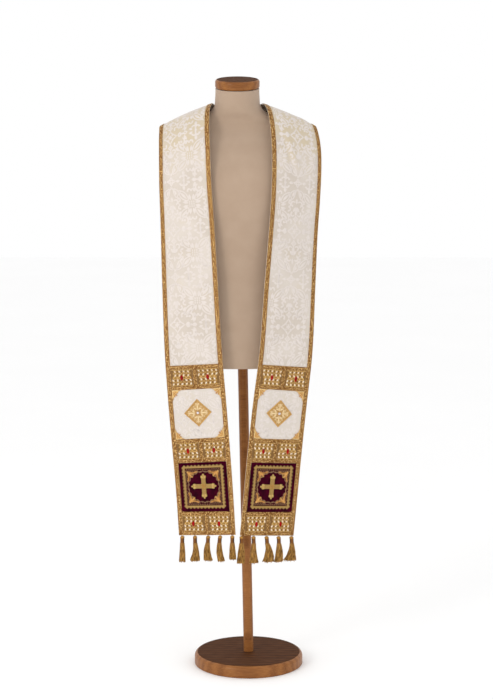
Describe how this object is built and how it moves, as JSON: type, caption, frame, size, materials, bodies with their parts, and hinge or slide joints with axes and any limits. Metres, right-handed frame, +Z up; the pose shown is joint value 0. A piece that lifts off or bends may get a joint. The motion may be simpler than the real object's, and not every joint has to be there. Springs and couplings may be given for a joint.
{
  "type": "clerical stole on dress form",
  "caption": "Cream damask clerical stole with gold braid, lattice bands, velvet squares, crosses and tassels, worn on a dress form with a round wooden base.",
  "frame": {"origin": "centre of the round base's underside, on the floor", "axes": "+Z up, -Y to the front of the bust, +X to the wearer's left"},
  "size_m": [0.4459, 0.3095, 1.6541],
  "materials": {
    "brocade": "cream silk damask, satin figure on a dull ground",
    "galloon": "gold metallic braid with lengthwise ribs",
    "lattice": "gold trellis embroidery with pearls and red stones",
    "velvet": "deep burgundy velvet",
    "embroidery": "raised gold thread embroidery",
    "tassel_thread": "old gold thread",
    "jersey": "beige stretch jersey",
    "wood": "varnished beech, semi-gloss"
  },
  "bodies": {
    "root": {"base": "wood", "bust": "jersey", "cross_braid_1_l": "galloon", "cross_braid_1_r": "galloon", "cross_braid_2_l": "galloon", "cross_braid_2_r": "galloon", "cross_braid_3_l": "galloon", "cross_braid_3_r": "galloon", "cross_braid_4_l": "galloon", "cross_braid_4_r": "galloon", "cross_braid_5_l": "galloon", "cross_braid_5_r": "galloon", "cross_braid_6_l": "galloon", "cross_braid_6_r": "galloon", "cross_l": "embroidery", "cross_r": "embroidery", "diamond_l": "embroidery", "diamond_r": "embroidery", "divider_hem_l": "galloon", "divider_hem_r": "galloon", "divider_middle_l": "galloon", "divider_middle_r": "galloon", "divider_top_l": "galloon", "divider_top_r": "galloon", "edge_braid_inner_l": "galloon", "edge_braid_inner_r": "galloon", "edge_braid_outer_l": "galloon", "edge_braid_outer_r": "galloon", "frame_l": "embroidery", "frame_r": "embroidery", "lattice_hem_inner_l": "lattice", "lattice_hem_inner_r": "lattice", "lattice_hem_outer_l": "lattice", "lattice_hem_outer_r": "lattice", "lattice_middle_inner_l": "lattice", "lattice_middle_inner_r": "lattice", "lattice_middle_outer_l": "lattice", "lattice_middle_outer_r": "lattice", "lattice_top_inner_l": "lattice", "lattice_top_inner_r": "lattice", "lattice_top_outer_l": "lattice", "lattice_top_outer_r": "lattice", "neck_cap": "wood", "pole": "wood", "strip_l": "brocade", "strip_r": "brocade", "tassel_1_l": "tassel_thread", "tassel_1_r": "tassel_thread", "tassel_2_l": "tassel_thread", "tassel_2_r": "tassel_thread", "tassel_3_l": "tassel_thread", "tassel_3_r": "tassel_thread", "tassel_4_l": "tassel_thread", "tassel_4_r": "tassel_thread", "tassel_5_l": "tassel_thread", "tassel_5_r": "tassel_thread", "velvet_l": "velvet", "velvet_r": "velvet"}
  },
  "joints": []
}
